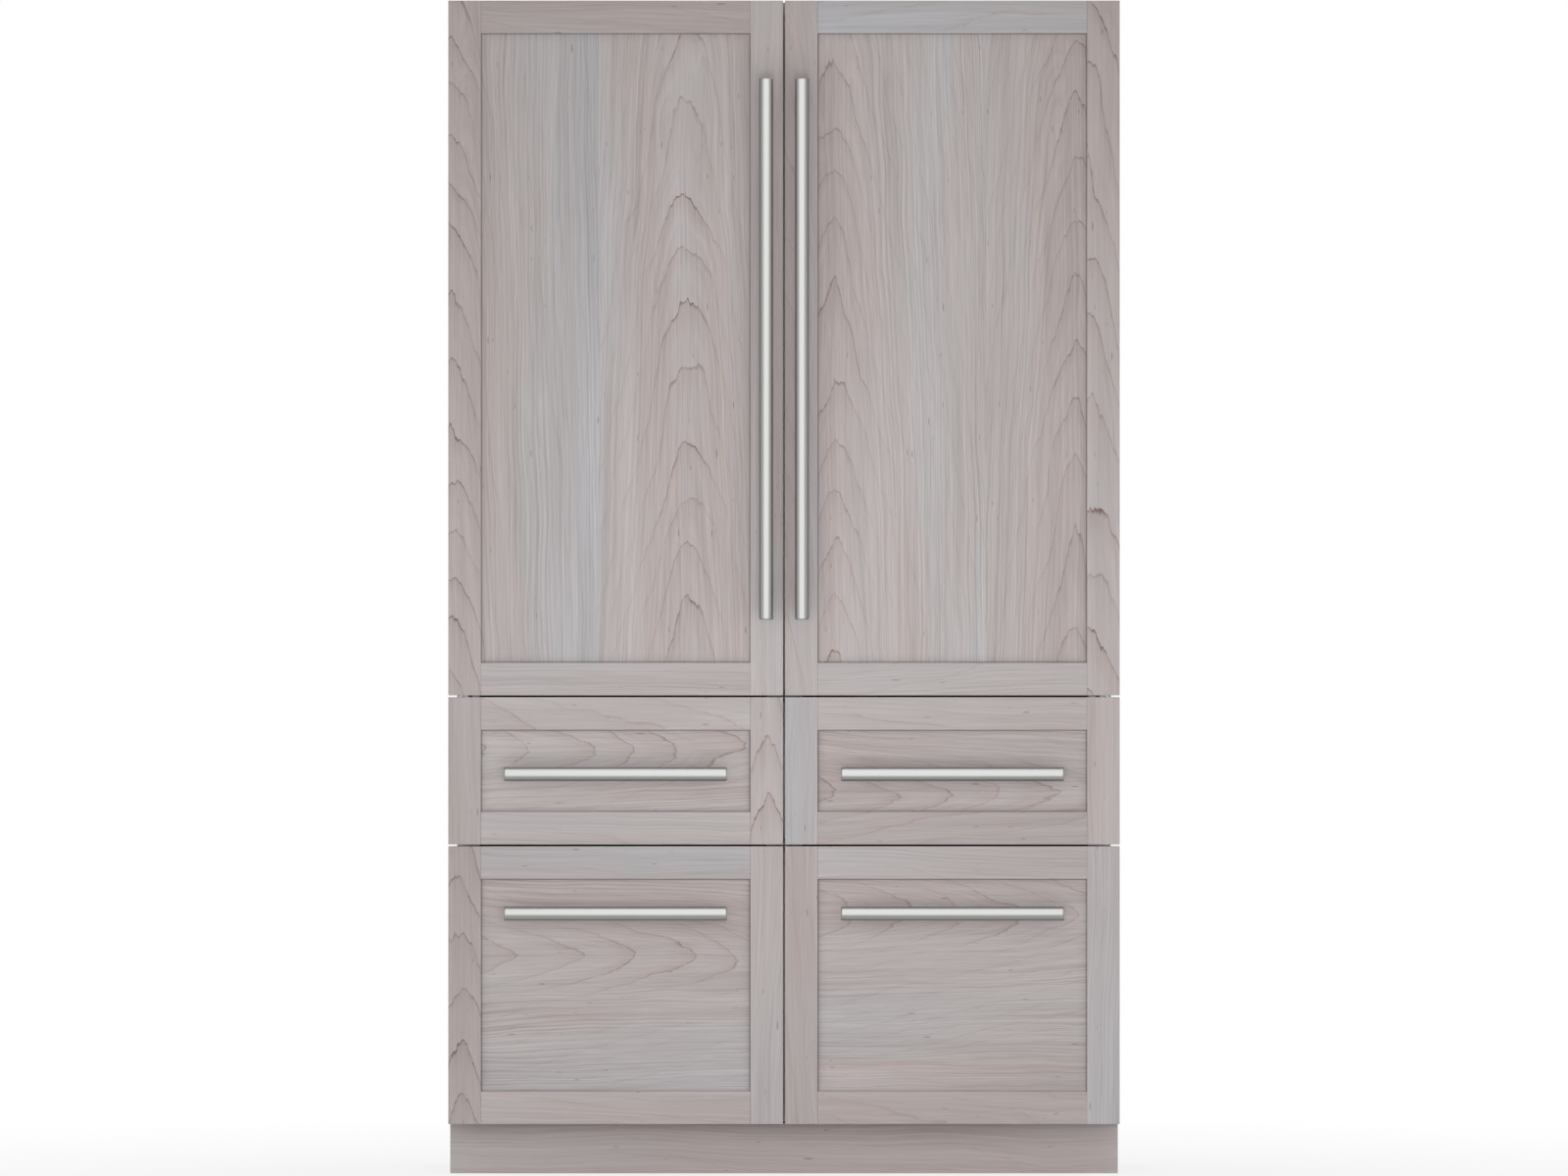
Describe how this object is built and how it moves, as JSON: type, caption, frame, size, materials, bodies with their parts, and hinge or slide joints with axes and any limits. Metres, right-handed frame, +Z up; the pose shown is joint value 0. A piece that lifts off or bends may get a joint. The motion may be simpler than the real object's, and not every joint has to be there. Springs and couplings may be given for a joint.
{
  "type": "bottom freezer refrigerator",
  "caption": "Tall built-in refrigerator with wooden shaker fronts: paired upper doors over chill drawers and deep freezer drawers, steel bar handles, recessed toe kick.",
  "frame": {"origin": "on the floor under the middle of the overall box, handles included", "axes": "+Z up, front of the appliance towards -Y, +X to the right as seen from the front"},
  "size_m": [1.2192, 0.672, 2.1336],
  "materials": {
    "maple_fronts": "matte",
    "toe_board": "matte",
    "satin_steel": "satin",
    "leaf_skin": "satin",
    "seal_rubber": "matte",
    "shell_steel": "satin",
    "mullion_metal": "satin",
    "liner_plastic": "satin",
    "air_panel_plastic": "satin",
    "foam": "matte",
    "shelf_glass": "gloss",
    "bin_clear": "gloss",
    "drawer_metal": "satin",
    "zinc_steel": "satin",
    "black_plastic": "satin",
    "black_enamel": "satin",
    "coil_aluminium": "satin",
    "control_glass": "gloss",
    "light_lens": "satin"
  },
  "bodies": {
    "cabinet": {"side_panels": "shell_steel", "top_panel": "shell_steel", "back_panel": "shell_steel", "base_frame": "black_enamel", "leveling_feet": "zinc_steel", "toe_kick": "toe_board", "cabinet_insulation": "foam", "fridge_liner": "liner_plastic", "drawer_liners": "liner_plastic", "face_mullions": "mullion_metal", "air_panel": "air_panel_plastic", "shelf_supports": "zinc_steel", "glass_shelves": "shelf_glass", "control_panel": "control_glass", "light_strips": "light_lens", "hinge_brackets": "zinc_steel", "hinge_screws": "zinc_steel", "cabinet_rails": "zinc_steel", "compressor": "black_enamel", "condenser_coil": "coil_aluminium", "evaporator_coil": "coil_aluminium", "fan_motors": "black_plastic"},
    "left_door": {"left_door_wood_front": "maple_fronts", "left_door_leaf": "leaf_skin", "left_door_gasket": "seal_rubber", "left_door_inner_liner": "liner_plastic", "left_door_bins": "bin_clear", "left_door_handle": "satin_steel"},
    "right_door": {"right_door_wood_front": "maple_fronts", "right_door_leaf": "leaf_skin", "right_door_gasket": "seal_rubber", "right_door_inner_liner": "liner_plastic", "right_door_bins": "bin_clear", "right_door_handle": "satin_steel"},
    "chill_left_drawer": {"chill_left_wood_front": "maple_fronts", "chill_left_leaf": "leaf_skin", "chill_left_gasket": "seal_rubber", "chill_left_box": "drawer_metal", "chill_left_handle": "satin_steel"},
    "chill_left_slides": {"chill_left_middle_slides": "zinc_steel"},
    "chill_right_drawer": {"chill_right_wood_front": "maple_fronts", "chill_right_leaf": "leaf_skin", "chill_right_gasket": "seal_rubber", "chill_right_box": "drawer_metal", "chill_right_handle": "satin_steel"},
    "chill_right_slides": {"chill_right_middle_slides": "zinc_steel"},
    "freezer_left_drawer": {"freezer_left_wood_front": "maple_fronts", "freezer_left_leaf": "leaf_skin", "freezer_left_gasket": "seal_rubber", "freezer_left_box": "drawer_metal", "freezer_left_handle": "satin_steel"},
    "freezer_left_slides": {"freezer_left_middle_slides": "zinc_steel"},
    "freezer_right_drawer": {"freezer_right_wood_front": "maple_fronts", "freezer_right_leaf": "leaf_skin", "freezer_right_gasket": "seal_rubber", "freezer_right_box": "drawer_metal", "freezer_right_handle": "satin_steel"},
    "freezer_right_slides": {"freezer_right_middle_slides": "zinc_steel"},
    "evaporator_rotor": {"evaporator_fan": "black_plastic"},
    "condenser_rotor": {"condenser_fan": "black_plastic"}
  },
  "joints": [
    {"name": "left_door_hinge", "type": "hinge", "parent": "cabinet", "child": "left_door", "pos_m": [-0.579, -0.233, 1.49575], "axis": [0, 0, -1], "range_deg": [0, 110]},
    {"name": "right_door_hinge", "type": "hinge", "parent": "cabinet", "child": "right_door", "pos_m": [0.579, -0.233, 1.49575], "axis": [0, 0, 1], "range_deg": [0, 110]},
    {"name": "chill_left_drawer_slide", "type": "slide", "parent": "cabinet", "child": "chill_left_drawer", "axis": [0, -1, 0], "range_m": [0, 0.4]},
    {"name": "chill_left_middle_slide", "type": "slide", "parent": "cabinet", "child": "chill_left_slides", "axis": [0, -1, 0], "range_m": [0, 0.2]},
    {"name": "chill_right_drawer_slide", "type": "slide", "parent": "cabinet", "child": "chill_right_drawer", "axis": [0, -1, 0], "range_m": [0, 0.4]},
    {"name": "chill_right_middle_slide", "type": "slide", "parent": "cabinet", "child": "chill_right_slides", "axis": [0, -1, 0], "range_m": [0, 0.2]},
    {"name": "freezer_left_drawer_slide", "type": "slide", "parent": "cabinet", "child": "freezer_left_drawer", "axis": [0, -1, 0], "range_m": [0, 0.4]},
    {"name": "freezer_left_middle_slide", "type": "slide", "parent": "cabinet", "child": "freezer_left_slides", "axis": [0, -1, 0], "range_m": [0, 0.2]},
    {"name": "freezer_right_drawer_slide", "type": "slide", "parent": "cabinet", "child": "freezer_right_drawer", "axis": [0, -1, 0], "range_m": [0, 0.4]},
    {"name": "freezer_right_middle_slide", "type": "slide", "parent": "cabinet", "child": "freezer_right_slides", "axis": [0, -1, 0], "range_m": [0, 0.2]},
    {"name": "evaporator_fan_spin", "type": "hinge", "parent": "cabinet", "child": "evaporator_rotor", "pos_m": [0, 0.2665, 1.9606], "axis": [0, -1, 0], "continuous": true},
    {"name": "condenser_fan_spin", "type": "hinge", "parent": "cabinet", "child": "condenser_rotor", "pos_m": [-0.0792, 0.241, 0.2004], "axis": [-1, 0, 0], "continuous": true}
  ],
  "couplings": [
    {"joint": "chill_left_middle_slide", "follows": "chill_left_drawer_slide", "ratio": 0.5},
    {"joint": "chill_right_middle_slide", "follows": "chill_right_drawer_slide", "ratio": 0.5},
    {"joint": "freezer_left_middle_slide", "follows": "freezer_left_drawer_slide", "ratio": 0.5},
    {"joint": "freezer_right_middle_slide", "follows": "freezer_right_drawer_slide", "ratio": 0.5}
  ]
}
